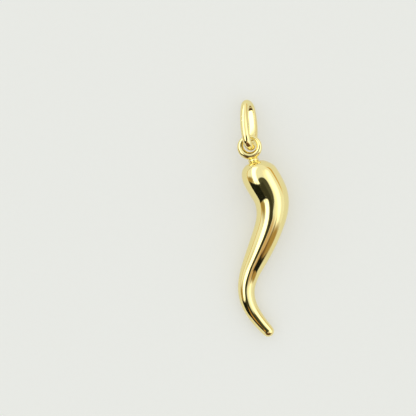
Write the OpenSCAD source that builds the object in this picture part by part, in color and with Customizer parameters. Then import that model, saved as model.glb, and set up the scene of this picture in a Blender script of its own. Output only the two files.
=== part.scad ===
// Cornicello horn pendant in polished yellow gold, lying at rest on a flat surface.
// The hollow horn, its collar and its eye are soldered into one piece, and the loose bail
// hangs in the eye. X is across the pendant, +Y runs from the horn's tip to the bail,
// the surface is z = 0 and the origin is under the middle of the pendant.

/* [Horn] */
// Length of the horn, from the seat of its collar to its tip
horn_l = 22.8; // [19:0.1:28]
// How far the horn's middle line swings from side to side
horn_sway = 3.3; // [2.4:0.1:4.2]
// How far the horn's middle line rises and dips out of its plane
horn_wave = 0.15; // [0:0.01:0.25]
// Diameter of the horn at its fullest
horn_d = 4.8; // [4.2:0.1:5.6]
// Depth of the horn's round top
top_depth = 2.2; // [1.8:0.05:2.6]
// Depth of the horn's round tip
tip_depth = 0.6; // [0.4:0.05:0.9]
// Thickness of the gold wall round the hollow of the horn
wall_t = 0.25; // [0.15:0.05:0.35]

/* [Collar and eye] */
// Diameter of the collar between the horn and the eye
collar_d = 1.5; // [1.2:0.05:2]
// Height of the collar over the horn's top
collar_h = 0.35; // [0.2:0.05:0.5]
// Depth of the collar's foot in the horn's top
collar_foot = 0.6; // [0.4:0.05:0.7]
// Diameter of the stem where it stands on the horn
stem_d = 1.2; // [0.9:0.05:1.2]
// Diameter of the hole in the eye
eye_hole = 1.7; // [1.5:0.01:2.2]
// Thickness of the eye's round wire
eye_wire = 0.76; // [0.5:0.02:0.9]
// Tilt of the collar and the eye from the horn's length, in degrees
eye_tilt = 17; // [8:1:28]

/* [Bail] */
// Outside length of the bail
bail_l = 6.9; // [5.8:0.1:9]
// Outside width of the bail
bail_w = 3.9; // [3.3:0.1:4.4]
// Width of the bail's wire
bail_wire_w = 1.1; // [0.7:0.05:1.15]
// Thickness of the bail's wire, from its flat inner face to its round outer one
bail_wire_t = 0.9; // [0.5:0.05:1]
// Radius of the middle line of the bail's two ends
bail_end_r = 1.15; // [0.9:0.05:1.2]
// How far to the right of the eye's middle the bail's lower end lies
bail_shift = 0.1; // [0:0.02:0.2]
// Clearance between the bail and the eye where the bail leans on it
bail_clearance = 0.05; // [0.03:0.01:0.1]

/* [Resting pose] */
// Roll of the horn onto its left side, in degrees
horn_roll = 7; // [0:1:10]
// Lean of the standing bail to the left, in degrees
bail_lean = 25; // [10:1:28]
// Turn of the bail's free end to the left, in degrees
bail_turn = 2.5; // [0:0.5:8]

/* [Hidden] */

// Sections of the horn from its top to its tip: how far along the horn, how far to the
// side, how wide and how far up, as shares of horn_l, horn_sway, horn_d and horn_wave
ALONG = 0;
SIDE = 1;
WIDTH = 2;
RISE = 3;
SECTIONS = [
    [0.00, 0.02, 1.00, 0],
    [0.06, 0.155, 0.99, -0.3],
    [0.12, 0.385, 1.00, -0.3],
    [0.20, 0.685, 0.975, -1],
    [0.28, 0.745, 0.875, 0.15],
    [0.36, 0.645, 0.775, 1],
    [0.45, 0.42, 0.73, 0.5],
    [0.55, 0.125, 0.645, -0.2],
    [0.64, -0.155, 0.54, -0.65],
    [0.73, -0.295, 0.465, 0],
    [0.82, -0.19, 0.415, 0.15],
    [0.91, 0.18, 0.365, -0.5],
    [1.00, 0.75, 0.30, 0],
];
LAST = len(SECTIONS) - 1;
// Fullness of the round top and the round tip, where 2 is an ellipse
TOP_FULLNESS = 2.2;
TIP_FULLNESS = 2;
// The stretches that rest on the surface: the belly, and the tail from its third quarter on
BELLY = [1, 4];
TAIL = 8;
// Facets round the skin and the hollow, and rings along them
SKIN_SIDES = 36;
SKIN_RINGS = 60;
HOLLOW_SIDES = 24;
HOLLOW_RINGS = 40;
// Facets of the round wires, the collar and the stem
WIRE_FN = 40;

// Colour of polished 18 carat yellow gold
GOLD = "#E8C45A";

// A smooth curve through b and c, with a and d as the points on either side of them
function curve(a, b, c, d, u) =
    b + 0.5 * u * (c - a + u * (2 * a - 5 * b + 4 * c - d + u * (3 * (b - c) + d - a)));

// The section at t, which counts from 0 at the horn's top to LAST at its tip
function section(t) =
    let (i = min(floor(t), LAST - 1), b = SECTIONS[i], c = SECTIONS[i + 1])
    curve(i > 0 ? SECTIONS[i - 1] : 2 * b - c, b, c,
          i < LAST - 1 ? SECTIONS[i + 2] : 2 * c - b, t - i);

// Middle of the horn at t, before it is laid down: the horn lies in the XY plane and
// the seat of its collar is at the origin
function middle(t) =
    let (s = section(t)) [s[SIDE] * horn_sway, -s[ALONG] * horn_l, s[RISE] * horn_wave];

// Direction of the horn at t in that plane, towards its tip
function heading(t) =
    let (d = middle(min(t + 0.05, LAST)) - middle(max(t - 0.05, 0)))
    [d.x, d.y] / norm([d.x, d.y]);

// Share of the full width at a distance from a round end, measured in depths of that end
function round_end(depths, fullness) =
    pow(1 - pow(1 - min(max(depths, 0), 1), fullness), 1 / fullness);

// Radius of the horn at t, inset from its skin
function radius(t, inset) =
    (section(t)[WIDTH] * horn_d / 2 - inset)
    * round_end((norm(middle(t) - middle(0)) - inset) / (top_depth - inset), TOP_FULLNESS)
    * round_end((norm(middle(LAST) - middle(t)) - inset) / (tip_depth - inset), TIP_FULLNESS);

// Places of the rings along the horn, set close together at both of its round ends
function stations(inset, rings) =
    let (first = inset / norm(middle(1) - middle(0)),
         last = LAST - inset / norm(middle(LAST) - middle(LAST - 1)))
    [for (i = [0 : rings]) first + (last - first) * (1 - cos(180 * i / rings)) / 2];

// One ring of points round the horn at t
function ring(t, inset, sides) =
    let (m = middle(t), h = heading(t), r = radius(t, inset))
    [for (k = [0 : sides - 1])
        m + r * [-h.y * cos(360 * k / sides), h.x * cos(360 * k / sides), sin(360 * k / sides)]];

// Points and faces of the horn's form, inset from its skin, with one point at each end
function form_points(inset, rings, sides) =
    let (at = stations(inset, rings))
    [middle(at[0]),
     for (i = [1 : rings - 1]) each ring(at[i], inset, sides),
     middle(at[rings])];

function form_faces(rings, sides) =
    let (tip = 1 + (rings - 1) * sides)
    [for (k = [0 : sides - 1]) let (n = (k + 1) % sides) each [
        [0, 1 + k, 1 + n],
        for (i = [0 : rings - 3]) let (a = 1 + i * sides) each [
            [a + k, a + sides + n, a + n],
            [a + k, a + sides + k, a + sides + n]
        ],
        [tip, tip - sides + n, tip - sides + k]
    ]];

function turned_x(p, a) = [p.x, p.y * cos(a) - p.z * sin(a), p.y * sin(a) + p.z * cos(a)];
function turned_y(p, a) = [p.x * cos(a) + p.z * sin(a), p.y, p.z * cos(a) - p.x * sin(a)];
function turned_z(p, a) = [p.x * cos(a) - p.y * sin(a), p.x * sin(a) + p.y * cos(a), p.z];

// The horn lies on its belly and its tail, so its pitch is the steepest at which no
// section of the tail sinks below the belly
function underside(t) = turned_y(middle(t), -horn_roll).z - radius(t, 0);
horn_pitch = atan(min([for (t = [TAIL : 0.1 : LAST])
    max([for (b = [BELLY[0] : 0.1 : BELLY[1]])
        (underside(t) - underside(b)) / (middle(b).y - middle(t).y)])]));
function laid(p) = turned_x(turned_y(p, -horn_roll), horn_pitch);

SKIN = form_points(0, SKIN_RINGS, SKIN_SIDES);
skin_laid = [for (p = SKIN) laid(p)];
horn_lift = -min([for (p = skin_laid) p.z]);

// The eye stands on the collar, and its wire sinks into the collar's top
eye_r = (eye_hole + eye_wire) / 2;
eye_sink = 0.1;
eye_centre = (collar_h - eye_sink + eye_hole / 2 + eye_wire) * [-sin(eye_tilt), cos(eye_tilt), 0];
eye_laid = laid(eye_centre) + [0, 0, horn_lift];

// Gap from a point to the eye's wire, as the horn lies
function gap_to_eye(p) =
    let (q = turned_y(turned_x(p - eye_laid, -horn_pitch), horn_roll))
    norm([norm([q.x, q.y]) - eye_r, q.z]) - eye_wire / 2;

// The bail's middle line is an oval of two end arcs and two long side arcs that meet
// smoothly. It is drawn in the XY plane, with its near strand at -X
oval_l = bail_l - bail_wire_t;
oval_w = bail_w - bail_wire_t;
end_y = oval_l / 2 - bail_end_r;
side_r = (oval_w * oval_w / 4 + end_y * end_y - bail_end_r * bail_end_r)
    / (oval_w - 2 * bail_end_r);
side_x = side_r - oval_w / 2;
side_half = atan(end_y / side_x);

// A point of the oval, offset outwards, where a is the direction in which it faces
function oval(a, offset) =
    let (d = [cos(a), sin(a), 0])
    abs(sin(a)) < sin(side_half)
        ? (side_r + offset) * d - [side_x * sign(cos(a)), 0, 0]
        : (bail_end_r + offset) * d + [0, end_y * sign(sin(a)), 0];

// The standing bail turned to its pose, with its lower end at the origin
function stood(p, pitch) =
    turned_z(turned_x(turned_y(p + [0, oval_l / 2, 0], 90 - bail_lean), -pitch), bail_turn);

// Lowest point of the bail below its lower end, from its round outer face
profile_shift = (bail_wire_t - bail_wire_w) / 2;
function wire_low(a, pitch) =
    let (c = stood(oval(a, profile_shift), pitch),
         t = stood(oval(a + 1, 0), pitch) - stood(oval(a, 0), pitch))
    c.z - bail_wire_w / 2 * sqrt(1 - pow(t.z / norm(t), 2));
function bail_low(pitch) = min([for (a = [0 : 3 : 357]) wire_low(a, pitch)]);

// The bail's free end is on the surface and its lower end passes through the eye. Its
// near strand leans on the eye's wire, so the pitch is found between two limits
flat_w = 2 * sqrt(pow(bail_wire_w / 2, 2) - pow(bail_wire_t - bail_wire_w / 2, 2));
function bail_place(pitch) = [eye_laid.x + bail_shift, eye_laid.y, -bail_low(pitch)];
function bail_gap(pitch) =
    let (at = bail_place(pitch))
    min([for (a = [90 : 5 : 270], side = [-1, 0, 1])
        gap_to_eye(at + stood(oval(a, -bail_wire_t / 2) + [0, 0, side * flat_w / 2], pitch))]);
function settled(low, high, steps) =
    let (pitch = (low + high) / 2)
    steps == 0 ? pitch
        : bail_gap(pitch) < bail_clearance ? settled(pitch, high, steps - 1)
        : settled(low, pitch, steps - 1);
bail_pitch = settled(0, 30, 12);
bail_at = bail_place(bail_pitch);

// Middle of the whole pendant, seen from above
outline = concat(
    skin_laid,
    [for (a = [0 : 5 : 355]) laid(eye_centre + (eye_r + eye_wire / 2) * [cos(a), sin(a), 0])],
    [for (a = [0 : 5 : 355]) bail_at + stood(oval(a, bail_wire_t / 2), bail_pitch)]);
function mid_of(values) = (min(values) + max(values)) / 2;
centre = [mid_of([for (p = outline) p.x]), mid_of([for (p = outline) p.y]), 0];

module horn_form(inset, rings, sides)
    polyhedron(form_points(inset, rings, sides), form_faces(rings, sides), convexity = 6);

module hollow_body()
    difference() {
        horn_form(0, SKIN_RINGS, SKIN_SIDES);
        horn_form(wall_t, HOLLOW_RINGS, HOLLOW_SIDES);
    }

// A disc with a round rim, whose foot is let into the horn's top
module collar()
    rotate_extrude($fn = WIRE_FN)
        union() {
            translate([0, -collar_foot]) square([(collar_d - collar_h) / 2, collar_foot + collar_h]);
            translate([(collar_d - collar_h) / 2, collar_h / 2]) circle(d = collar_h);
        }

// A ring of round wire on a short tapered stem
module eye(height)
    union() {
        translate([0, 0, height]) rotate([90, 0, 0])
            rotate_extrude($fn = WIRE_FN) translate([eye_r, 0]) circle(d = eye_wire);
        cylinder(h = collar_h + eye_wire / 2, d1 = stem_d, d2 = eye_wire, $fn = WIRE_FN);
    }

module horn()
    color(GOLD)
        translate([-centre.x, -centre.y, horn_lift])
            rotate([horn_pitch, 0, 0]) rotate([0, -horn_roll, 0])
                union() {
                    hollow_body();
                    rotate([-90, 0, eye_tilt]) {
                        collar();
                        eye(norm(eye_centre));
                    }
                }

// Wire of the bail: a round one with a flat inner face, centred on its thickness
module wire_profile()
    intersection() {
        translate([profile_shift, 0]) circle(d = bail_wire_w, $fn = WIRE_FN);
        translate([-bail_wire_t / 2, -bail_wire_w / 2]) square([bail_wire_t, bail_wire_w]);
    }

module wire_arc(radius, from, sweep)
    rotate([0, 0, from]) rotate_extrude(angle = sweep, $fn = WIRE_FN * 4)
        translate([radius, 0]) wire_profile();

module bail()
    color(GOLD)
        translate([bail_at.x - centre.x, bail_at.y - centre.y, bail_at.z])
            rotate([0, 0, bail_turn]) rotate([-bail_pitch, 0, 0]) rotate([0, 90 - bail_lean, 0])
                translate([0, oval_l / 2, 0])
                    for (half = [0, 180]) rotate([0, 0, half]) {
                        translate([-side_x, 0, 0]) wire_arc(side_r, -side_half, 2 * side_half);
                        translate([0, end_y, 0])
                            wire_arc(bail_end_r, side_half, 180 - 2 * side_half);
                    }

horn();
bail();
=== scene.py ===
"""Cornicello horn pendant in polished yellow gold, lying on a pale board and seen from above.

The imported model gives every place: the horn, its collar and its eye stand for one soldered
CAD node, and the loose bail for the other. Sizes are in millimetres and are turned to metres.
"""

import math

import bmesh
import bpy
from mathutils import Euler, Matrix, Vector


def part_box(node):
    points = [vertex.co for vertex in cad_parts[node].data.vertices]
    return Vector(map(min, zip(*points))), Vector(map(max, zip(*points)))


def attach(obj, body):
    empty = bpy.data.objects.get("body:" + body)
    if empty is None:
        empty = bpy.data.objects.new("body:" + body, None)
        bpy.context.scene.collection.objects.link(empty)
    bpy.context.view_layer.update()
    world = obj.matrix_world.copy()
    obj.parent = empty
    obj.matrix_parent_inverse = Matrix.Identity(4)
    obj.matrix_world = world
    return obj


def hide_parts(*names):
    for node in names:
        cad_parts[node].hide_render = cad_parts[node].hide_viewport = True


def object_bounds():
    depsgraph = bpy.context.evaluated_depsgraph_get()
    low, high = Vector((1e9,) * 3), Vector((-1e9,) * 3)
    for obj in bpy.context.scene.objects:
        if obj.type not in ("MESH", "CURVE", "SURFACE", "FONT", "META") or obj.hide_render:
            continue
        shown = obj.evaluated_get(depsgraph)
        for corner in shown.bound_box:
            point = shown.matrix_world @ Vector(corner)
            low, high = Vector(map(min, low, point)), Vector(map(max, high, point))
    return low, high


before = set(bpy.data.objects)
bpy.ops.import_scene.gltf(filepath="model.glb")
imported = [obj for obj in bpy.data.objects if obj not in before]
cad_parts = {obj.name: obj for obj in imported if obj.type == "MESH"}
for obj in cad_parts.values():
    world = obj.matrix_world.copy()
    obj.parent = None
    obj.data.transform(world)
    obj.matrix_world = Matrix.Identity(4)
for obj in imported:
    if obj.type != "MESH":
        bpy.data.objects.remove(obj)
cad_low, cad_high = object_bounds()

MM = 0.001

# Camera: a copy stand holds it straight above the board, with the pendant right of the
# middle of the picture, as in the photograph. A long lens keeps the view nearly parallel.
FIELD = 54.08
FIELD_CENTRE = (-7.144, 1.347)
CAMERA_RISE = 250
SENSOR = 36

camera = bpy.data.objects.new("camera", bpy.data.cameras.new("camera"))
bpy.context.scene.collection.objects.link(camera)
camera.data.sensor_width = SENSOR
camera.data.lens = SENSOR * CAMERA_RISE / FIELD
camera.data.clip_start = 0.01
camera.data.clip_end = 10
mid_height = (cad_low.z + cad_high.z) / 2
camera.location = (FIELD_CENTRE[0] * MM, FIELD_CENTRE[1] * MM, mid_height + CAMERA_RISE * MM)
bpy.context.scene.camera = camera
bpy.context.scene.view_settings.view_transform = "Standard"

# Board: the pendant lies on a sheet of milk-white acrylic, sanded matt and faintly lit from
# below, so that shadows on it stay pale. It is much larger than the picture.
BOARD_SIDE = 1200
BOARD_GRAIN = 0.6
BOARD_HEX = "C9CAC4"
BOARD_DARK_HEX = "C7C8C2"
BOARD_GLOW_HEX = "FFFFFF"
BOARD_GLOW = 0.30


def linear(hex_colour):
    """The linear colour of an sRGB hex value, with full alpha."""
    shares = [int(hex_colour[i:i + 2], 16) / 255 for i in (0, 2, 4)]
    return [s / 12.92 if s <= 0.04045 else ((s + 0.055) / 1.055) ** 2.4 for s in shares] + [1]


def add_node(tree, kind, settings, links):
    """Adds a node, sets its properties and sockets, and links sockets to other nodes' outputs."""
    node = tree.nodes.new(kind)
    for key, value in settings.items():
        if hasattr(node, str(key)):
            setattr(node, key, value)
        else:
            node.inputs[key].default_value = value
    for key, output in links.items():
        tree.links.new(output, node.inputs[key])
    return node


def link_piece(name, bm, material):
    """A smooth-shaded object at the origin, made from a bmesh that holds its place."""
    mesh = bpy.data.meshes.new(name)
    bm.to_mesh(mesh)
    bm.free()
    mesh.materials.append(material)
    mesh.shade_smooth()
    piece = bpy.data.objects.new(name, mesh)
    bpy.context.scene.collection.objects.link(piece)
    return piece


sanded_acrylic = bpy.data.materials.new("sanded_milk_white_acrylic")
sanded_acrylic.use_nodes = True
tree = sanded_acrylic.node_tree
shader = tree.nodes["Principled BSDF"]
shader.inputs["Roughness"].default_value = 0.95
shader.inputs["Specular IOR Level"].default_value = 0.1
shader.inputs["Emission Color"].default_value = linear(BOARD_GLOW_HEX)
shader.inputs["Emission Strength"].default_value = BOARD_GLOW
place = add_node(tree, "ShaderNodeTexCoord", {}, {}).outputs["Object"]
grain = add_node(tree, "ShaderNodeTexNoise", {"Scale": 1 / (BOARD_GRAIN * MM), "Detail": 3},
                 {"Vector": place})
tone = add_node(tree, "ShaderNodeMix", {"data_type": "RGBA", 6: linear(BOARD_HEX),
                7: linear(BOARD_DARK_HEX)}, {0: grain.outputs["Fac"]})
tree.links.new(tone.outputs[2], shader.inputs["Base Color"])

bm = bmesh.new()
bmesh.ops.create_grid(bm, x_segments=1, y_segments=1, size=BOARD_SIDE / 2 * MM)
board = link_piece("board", bm, sanded_acrylic)

# Light: a tent of white cloth stands round the board, with a tall window of light on the left
# and a rounder lamp on the right. The gold also shows the dark camera over it, two black arms of
# its stand, the tent's brown foot on the left, and dark, pale and honey-coloured wood around.
TENT = (0.92, 0.95, 0.97)
TENT_ON_BOARD = (0.88, 0.89, 0.88)
TENT_FOOT = (0.38, 0.27, 0.10)
WINDOW = (2.3, 2.3, 2.3)
LAMP = (1.7, 1.7, 1.7)
GLOW = (1.15, 1.15, 1.10)
WOOD = (0.62, 0.33, 0.09)
HONEY_WOOD = (0.66, 0.40, 0.06)
PALE_WOOD = (0.65, 0.44, 0.26)
SHADED_WOOD = (0.40, 0.26, 0.10)
DARK_WOOD = (0.13, 0.065, 0.03)
BLACK_ARM = (0.012, 0.013, 0.009)
CAMERA_BODY = (0.080, 0.082, 0.060)
CAMERA_SHADE = (0.045, 0.045, 0.030)

studio = bpy.data.worlds.new("light_tent")
bpy.context.scene.world = studio
studio.use_nodes = True
tree = studio.node_tree
toward = add_node(tree, "ShaderNodeTexCoord", {}, {}).outputs["Generated"]
light = add_node(tree, "ShaderNodeRGB", {}, {}).outputs[0]
light.default_value = (*TENT, 1)


def add_patch(under, colour, azimuth, from_zenith, half_across, half_along, turn=0, soft=0.4,
              square=False):
    """Lays an oval or a rectangle of light or dark on the tent, and returns the light with it.
    Azimuth counts from +X, along is away from the zenith, and all angles are in degrees."""
    a, t = math.radians(azimuth), math.radians(from_zenith)
    centre = Vector((math.cos(a) * math.sin(t), math.sin(a) * math.sin(t), math.cos(t)))
    facing = Euler((0, t, a)).to_matrix() @ Matrix.Rotation(math.radians(turn), 3, "Z")
    half = (math.sin(math.radians(half_along)), math.sin(math.radians(half_across)), 1)
    offset = add_node(tree, "ShaderNodeMapping", {"vector_type": "TEXTURE", "Location": centre,
                      "Rotation": facing.to_euler(), "Scale": half}, {"Vector": toward})
    if square:
        size = add_node(tree, "ShaderNodeVectorMath", {"operation": "ABSOLUTE"},
                        {0: offset.outputs[0]})
        sides = add_node(tree, "ShaderNodeSeparateXYZ", {}, {0: size.outputs[0]}).outputs
        wider = add_node(tree, "ShaderNodeMath", {"operation": "MAXIMUM"},
                         {0: sides[0], 1: sides[1]})
        reach = add_node(tree, "ShaderNodeMath", {"operation": "MAXIMUM"},
                         {0: wider.outputs[0], 1: sides[2]}).outputs[0]
    else:
        reach = add_node(tree, "ShaderNodeVectorMath", {"operation": "LENGTH"},
                         {0: offset.outputs[0]}).outputs["Value"]
    mask = add_node(tree, "ShaderNodeMapRange", {"interpolation_type": "SMOOTHSTEP",
                    "From Min": 1 - soft, "From Max": 1 + soft, "To Min": 1, "To Max": 0},
                    {"Value": reach})
    laid = add_node(tree, "ShaderNodeMix", {"data_type": "RGBA", 7: (*colour, 1)},
                    {0: mask.outputs[0], 6: under})
    return laid.outputs[2]


light = add_patch(light, TENT_FOOT, 197, 73, 11, 20, soft=0.5)
light = add_patch(light, TENT_FOOT, 130, 90, 24, 4)
light = add_patch(light, HONEY_WOOD, 185, 89, 36, 3)
light = add_patch(light, WINDOW, 150, 47, 42, 12, turn=30, soft=0.2, square=True)
light = add_patch(light, GLOW, 13, 27, 34, 10, soft=0.5)
light = add_patch(light, LAMP, 10, 47, 36, 14)
light = add_patch(light, HONEY_WOOD, 40, 86, 26, 7)
light = add_patch(light, DARK_WOOD, 270, 66, 36, 30, soft=0.15, square=True)
light = add_patch(light, PALE_WOOD, 285, 31, 14, 9, soft=0.5)
light = add_patch(light, SHADED_WOOD, 320, 68, 9, 24, turn=20, soft=0.5)
light = add_patch(light, BLACK_ARM, 302, 58, 3.5, 24, turn=31, soft=0.2, square=True)
light = add_patch(light, BLACK_ARM, 219, 64, 10, 28, turn=-20, soft=0.15, square=True)
light = add_patch(light, CAMERA_BODY, 270, 5, 10, 24, turn=-70, soft=0.15)
light = add_patch(light, CAMERA_SHADE, 240, 25, 8, 17, turn=-27, soft=0.15, square=True)
light = add_patch(light, WOOD, 231, 44, 1.5, 11, turn=-3, soft=0.3, square=True)
# The board is lit by the plain cloth alone, so it stays even, and the polished gold shows it all
mirrored = add_node(tree, "ShaderNodeLightPath", {}, {}).outputs["Is Glossy Ray"]
seen = add_node(tree, "ShaderNodeMix", {"data_type": "RGBA", 6: (*TENT_ON_BOARD, 1)},
                {0: mirrored, 7: light})
tree.links.new(seen.outputs[2], tree.nodes["Background"].inputs["Color"])

# Horn: a hollow S-curved horn of 18 carat yellow gold, raised in thin sheet, closed by a
# soldered seam and polished by hand until no seam shows. It lies on its belly and its tail.
HORN_LENGTH = 22.8
HORN_SWAY = 3.3
HORN_WAVE = 0.15
HORN_WIDTH = 4.8
TOP_DEPTH = 2.2
TOP_FULLNESS = 2.2
TIP_DEPTH = 0.6
TIP_FULLNESS = 2
HORN_ROLL = 7
HORN_PITCH = 4.38
# Sections from the top to the tip: along, side, width and rise, as shares of the length, the
# sway, the width and the wave
SECTIONS = [
    (0.00, 0.02, 1.00, 0),
    (0.06, 0.155, 0.99, -0.3),
    (0.12, 0.385, 1.00, -0.3),
    (0.20, 0.685, 0.975, -1),
    (0.28, 0.745, 0.875, 0.15),
    (0.36, 0.645, 0.775, 1),
    (0.45, 0.42, 0.73, 0.5),
    (0.55, 0.125, 0.645, -0.2),
    (0.64, -0.155, 0.54, -0.65),
    (0.73, -0.295, 0.465, 0),
    (0.82, -0.19, 0.415, 0.15),
    (0.91, 0.18, 0.365, -0.5),
    (1.00, 0.75, 0.30, 0),
]
LAST = len(SECTIONS) - 1
HORN_RINGS = 30
HORN_SIDES = 24
GOLD_HEX = "F9EBAA"
GOLD_DEEP_HEX = "F7E69F"
POLISH_ROUGHNESS = 0.035
WAVE_SIZE = 1.6
WAVE_DEPTH = 0.0012
CLOUD_SIZE = 3
HAIRLINE_GAP = 0.12
HAIRLINE_LENGTH = 3
HAIRLINE_DEPTH = 0.0002


def section_at(t):
    """Middle and radius of the horn at t, which counts its sections, on a smooth curve."""
    i = min(int(t), LAST - 1)
    b, c = Vector(SECTIONS[i]), Vector(SECTIONS[i + 1])
    a = Vector(SECTIONS[i - 1]) if i > 0 else 2 * b - c
    d = Vector(SECTIONS[i + 2]) if i < LAST - 1 else 2 * c - b
    u = t - i
    slope = c - a + u * (2 * a - 5 * b + 4 * c - d + u * (3 * (b - c) + d - a))
    along, side, width, rise = b + 0.5 * u * slope
    middle = Vector((side * HORN_SWAY, -along * HORN_LENGTH, rise * HORN_WAVE))
    return middle * MM, width * HORN_WIDTH / 2 * MM


def round_end(distance, depth, fullness):
    """Share of the full width that is left at a distance from a round end."""
    return (1 - (1 - min(distance / (depth * MM), 1)) ** fullness) ** (1 / fullness)


def ring_place(t):
    """Where a unit circle goes to be the horn's skin at t."""
    middle, radius = section_at(t)
    heading = section_at(min(t + 0.05, LAST))[0] - section_at(max(t - 0.05, 0))[0]
    radius *= round_end((middle - section_at(0)[0]).length, TOP_DEPTH, TOP_FULLNESS)
    radius *= round_end((section_at(LAST)[0] - middle).length, TIP_DEPTH, TIP_FULLNESS)
    # The circle's first point stays in the horn's plane, so the rings don't twist
    turn = Matrix.Rotation(math.atan2(heading.y, heading.x), 4, "Z") @ Matrix.Rotation(
        math.radians(90), 4, "Y")
    return Matrix.Translation(middle) @ turn @ Matrix.Scale(radius, 4)


def bridge_rings(bm, rings):
    """Joins rings of edges to each other, in their order."""
    for one, other in zip(rings, rings[1:]):
        bmesh.ops.bridge_loops(bm, edges=one + other)


def rim_of(verts):
    """The edges round the outside of a new circle."""
    return [e for e in {e for v in verts for e in v.link_edges} if not e.link_faces or e.is_boundary]


def polished_gold(name, light_hex, deep_hex, along):
    """Yellow gold, polished to a mirror on a felt wheel. Its skin still has faint waves from
    the wheel and hairlines along the piece, drawn wider apart than real ones so they show."""
    gold = bpy.data.materials.new(name)
    gold.use_nodes = True
    tree = gold.node_tree
    shader = tree.nodes["Principled BSDF"]
    shader.inputs["Metallic"].default_value = 1
    place = add_node(tree, "ShaderNodeTexCoord", {}, {}).outputs["Object"]
    cloud = add_node(tree, "ShaderNodeTexNoise", {"Scale": 1 / (CLOUD_SIZE * MM), "Detail": 2},
                     {"Vector": place})
    tone = add_node(tree, "ShaderNodeMix", {"data_type": "RGBA", 6: linear(light_hex),
                    7: linear(deep_hex)}, {0: cloud.outputs["Fac"]})
    tree.links.new(tone.outputs[2], shader.inputs["Base Color"])
    stretch = [1 / ((HAIRLINE_LENGTH if axis == along else HAIRLINE_GAP) * MM)
               for axis in range(3)]
    lines = add_node(tree, "ShaderNodeMapping", {"Scale": stretch}, {"Vector": place})
    hairline = add_node(tree, "ShaderNodeTexNoise", {"Scale": 1, "Detail": 2},
                        {"Vector": lines.outputs[0]})
    rough = add_node(tree, "ShaderNodeMapRange", {"From Min": 0.45, "From Max": 0.8,
                     "To Min": POLISH_ROUGHNESS, "To Max": 3 * POLISH_ROUGHNESS},
                     {"Value": hairline.outputs["Fac"]})
    tree.links.new(rough.outputs[0], shader.inputs["Roughness"])
    wave = add_node(tree, "ShaderNodeTexNoise", {"Scale": 1 / (WAVE_SIZE * MM), "Detail": 1},
                    {"Vector": place})
    waves = add_node(tree, "ShaderNodeBump", {"Strength": 1, "Distance": WAVE_DEPTH * MM},
                     {"Height": wave.outputs["Fac"]})
    scratches = add_node(tree, "ShaderNodeBump", {"Strength": 1, "Distance": HAIRLINE_DEPTH * MM},
                         {"Height": hairline.outputs["Fac"], "Normal": waves.outputs[0]})
    tree.links.new(scratches.outputs[0], shader.inputs["Normal"])
    return gold


def box_of(piece):
    """Lowest and highest corner of a piece with its modifiers, in metres."""
    shown = piece.evaluated_get(bpy.context.evaluated_depsgraph_get())
    mesh = shown.to_mesh()
    low, high = (Vector(pick(v.co[i] for v in mesh.vertices) for i in range(3))
                 for pick in (min, max))
    shown.to_mesh_clear()
    return low, high


sheet_gold = polished_gold("hand_polished_18ct_sheet_gold", GOLD_HEX, GOLD_DEEP_HEX, along=1)
# A cage of few sides pulls in when it is rounded, so it starts a little wider
cage_radius = 3 / (2 + math.cos(2 * math.pi / HORN_SIDES))
bm = bmesh.new()
rings = []
for i in range(1, HORN_RINGS):
    stop = LAST * (1 - math.cos(math.pi * i / HORN_RINGS)) / 2
    made = bmesh.ops.create_circle(bm, segments=HORN_SIDES, radius=cage_radius,
                                   matrix=ring_place(stop))["verts"]
    rings.append(rim_of(made))
bridge_rings(bm, rings)
for rim, pole in ((rings[0], 0), (rings[-1], LAST)):
    cone = bmesh.ops.extrude_edge_only(bm, edges=rim)["geom"]
    bmesh.ops.pointmerge(bm, verts=[g for g in cone if isinstance(g, bmesh.types.BMVert)],
                         merge_co=section_at(pole)[0])
bmesh.ops.recalc_face_normals(bm, faces=bm.faces)
horn = link_piece("horn_body", bm, sheet_gold)
smooth = horn.modifiers.new("rounding", "SUBSURF")
smooth.levels = smooth.render_levels = 3

# The horn's right side, its tip and its underside touch the box of the CAD horn
lying = (Matrix.Rotation(math.radians(HORN_PITCH), 4, "X")
         @ Matrix.Rotation(math.radians(-HORN_ROLL), 4, "Y"))
horn.data.transform(lying)
low, high = box_of(horn)
cad_horn_low, cad_horn_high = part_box("horn")
seat = Vector((cad_horn_high.x - high.x, cad_horn_low.y - low.y, cad_horn_low.z - low.z))
horn.data.transform(Matrix.Translation(seat))
laid = Matrix.Translation(seat) @ lying
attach(horn, "root")
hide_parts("horn")

# Collar: a small domed cap of gold, turned and soldered on the horn's round top. Its foot is
# let into the horn, and the foot of the eye is soldered on it.
COLLAR_TILT = 17
COLLAR_SIDES = 32
# Outline of the collar from its foot to its crown: radius and height over the horn's top
COLLAR_OUTLINE = [
    (0.55, -0.35),
    (0.64, -0.10),
    (0.72, 0.02),
    (0.74, 0.14),
    (0.66, 0.28),
    (0.50, 0.38),
    (0.24, 0.44),
    (0.06, 0.45),
]

cast_gold = polished_gold("soldered_18ct_cast_gold", GOLD_HEX, GOLD_DEEP_HEX, along=2)
tilted = laid @ Matrix.Rotation(math.radians(COLLAR_TILT), 4, "Z")
bm = bmesh.new()
outline = [bm.verts.new((radius * MM, height * MM, 0)) for radius, height in COLLAR_OUTLINE]
edges = [bm.edges.new(pair) for pair in zip(outline, outline[1:])]
bmesh.ops.spin(bm, geom=outline + edges, cent=(0, 0, 0), axis=(0, 1, 0), angle=math.tau,
               steps=COLLAR_SIDES, use_merge=True)
bmesh.ops.holes_fill(bm, edges=[e for e in bm.edges if e.is_boundary])
bmesh.ops.recalc_face_normals(bm, faces=bm.faces)
bmesh.ops.transform(bm, matrix=tilted, verts=bm.verts)
collar = link_piece("collar", bm, cast_gold)
smooth = collar.modifiers.new("rounding", "SUBSURF")
smooth.levels = smooth.render_levels = 2
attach(collar, "root")
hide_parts("horn")

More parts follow.
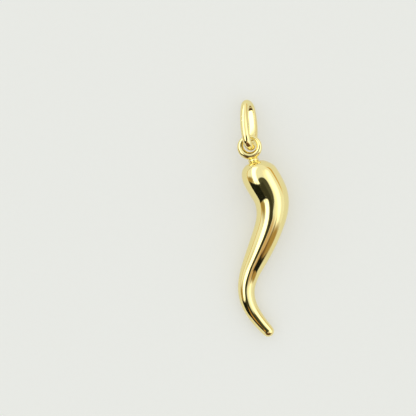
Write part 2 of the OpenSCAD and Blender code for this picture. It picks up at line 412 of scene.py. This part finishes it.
# Eye: a closed ring of round gold wire, cast with a thick foot that is soldered to the
# collar. Its wire thins towards its top, where the bail hangs with room to swing.
EYE_OUTER = 3.24
EYE_HOLE = 1.7
EYE_FOOT = 1.0
EYE_TOP = 0.5
EYE_RISE = 1.86
EYE_FOOT_TURN = -30
EYE_RINGS = 96
EYE_SIDES = 32

bm = bmesh.new()
rings = []
for i in range(EYE_RINGS):
    angle = math.tau * i / EYE_RINGS
    wire = ((EYE_FOOT + EYE_TOP) / 2 + (EYE_FOOT - EYE_TOP) / 2 * math.cos(angle)) / 2
    spoke = Matrix.Rotation(angle, 4, "Z") @ Matrix.Translation(
        ((EYE_OUTER + EYE_HOLE) / 4 * MM, 0, 0))
    made = bmesh.ops.create_circle(bm, segments=EYE_SIDES, radius=wire * MM,
                                   matrix=spoke @ Matrix.Rotation(math.radians(90), 4, "X"))
    rings.append(rim_of(made["verts"]))
bridge_rings(bm, rings + rings[:1])
bmesh.ops.recalc_face_normals(bm, faces=bm.faces)
off_middle = Matrix.Translation((-(EYE_FOOT - EYE_TOP) / 4 * MM, 0, 0))
eye_place = (tilted @ Matrix.Translation((0, EYE_RISE * MM, 0))
             @ Matrix.Rotation(math.radians(-90 + EYE_FOOT_TURN), 4, "Z") @ off_middle)
bmesh.ops.transform(bm, matrix=eye_place, verts=bm.verts)
eye = link_piece("eye", bm, cast_gold)
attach(eye, "root")
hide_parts("horn")

# Bail: a loose oval link of drawn gold wire, round outside and flat inside, bent and closed
# with solder. It hangs in the eye, its free end on the board and its near strand on the eye.
BAIL_LENGTH = 6.9
BAIL_WIDTH = 3.9
BAIL_WIRE_WIDTH = 1.1
BAIL_WIRE_DEPTH = 0.9
BAIL_END_RADIUS = 1.15
BAIL_EDGE = 0.15
BAIL_LEAN = 25
BAIL_PITCH = 17.13
BAIL_TURN = 2.5
BAIL_SIDES = 48
SIDE_STEPS = 96
END_STEPS = 48
DOTS_ALONG = (1.2, 0.62, 0.04)
DOT_RADIUS = 0.15
DOT_DEPTH = 0.035

wire_gold = polished_gold("drawn_18ct_gold_wire", GOLD_HEX, GOLD_DEEP_HEX, along=1)
half_length = (BAIL_LENGTH - BAIL_WIRE_DEPTH) / 2
half_width = (BAIL_WIDTH - BAIL_WIRE_DEPTH) / 2
end_y = half_length - BAIL_END_RADIUS
side_radius = ((half_width ** 2 + end_y ** 2 - BAIL_END_RADIUS ** 2)
               / (2 * (half_width - BAIL_END_RADIUS)))
side_x = side_radius - half_width
side_angle = 2 * math.atan(end_y / side_x)

# The wire's section stands at the start of the right strand, and is swept round four arcs
bm = bmesh.new()
bmesh.ops.create_circle(bm, segments=BAIL_SIDES, radius=BAIL_WIRE_WIDTH / 2 * MM,
                        matrix=Matrix.Translation(((BAIL_WIRE_DEPTH - BAIL_WIRE_WIDTH) / 2 * MM, 0, 0))
                        @ Matrix.Rotation(math.radians(90), 4, "X"))
bmesh.ops.bisect_plane(bm, geom=bm.verts[:] + bm.edges[:], dist=0.0001 * MM,
                       plane_co=(-BAIL_WIRE_DEPTH / 2 * MM, 0, 0), plane_no=(-1, 0, 0),
                       clear_outer=True)
corners = [v for v in bm.verts if len(v.link_edges) == 1]
bm.edges.new(corners)
bmesh.ops.bevel(bm, geom=corners, offset=BAIL_EDGE * MM, offset_type="OFFSET", affect="VERTICES",
                segments=5, profile=0.5, material=-1)
bmesh.ops.translate(bm, vec=(side_radius * MM, 0, 0), verts=bm.verts)
bmesh.ops.rotate(bm, cent=(0, 0, 0), matrix=Matrix.Rotation(-side_angle / 2, 3, "Z"),
                 verts=bm.verts)
bmesh.ops.translate(bm, vec=(-side_x * MM, 0, 0), verts=bm.verts)
section = bm.verts[:] + bm.edges[:]
end_angle = math.pi - side_angle
for centre, angle, steps in (((-side_x, 0), side_angle, SIDE_STEPS), ((0, end_y), end_angle, END_STEPS),
                             ((side_x, 0), side_angle, SIDE_STEPS), ((0, -end_y), end_angle, END_STEPS)):
    section = bmesh.ops.spin(bm, geom=section, cent=(centre[0] * MM, centre[1] * MM, 0),
                             axis=(0, 0, 1), angle=angle, steps=steps)["geom_last"]
bmesh.ops.remove_doubles(bm, verts=bm.verts, dist=0.001 * MM)
bmesh.ops.recalc_face_normals(bm, faces=bm.faces)

# A row of three punched dots marks the middle of the near strand's outer face
for along in DOTS_ALONG:
    dot = Vector((-(half_width + BAIL_WIRE_DEPTH / 2), along, 0)) * MM
    for v in bm.verts:
        share = (v.co - dot).length / (DOT_RADIUS * MM)
        if share < 1:
            v.co.x += DOT_DEPTH * MM * (1 - share ** 2) ** 2

standing = (Matrix.Rotation(math.radians(BAIL_TURN), 4, "Z")
            @ Matrix.Rotation(math.radians(-BAIL_PITCH), 4, "X")
            @ Matrix.Rotation(math.radians(90 - BAIL_LEAN), 4, "Y"))
bmesh.ops.transform(bm, matrix=standing, verts=bm.verts)
bail = link_piece("bail_wire", bm, wire_gold)
low, high = box_of(bail)
cad_bail_low, cad_bail_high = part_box("bail")
bail.data.transform(Matrix.Translation((cad_bail_low + cad_bail_high - low - high) / 2))
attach(bail, "root")
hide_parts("bail")
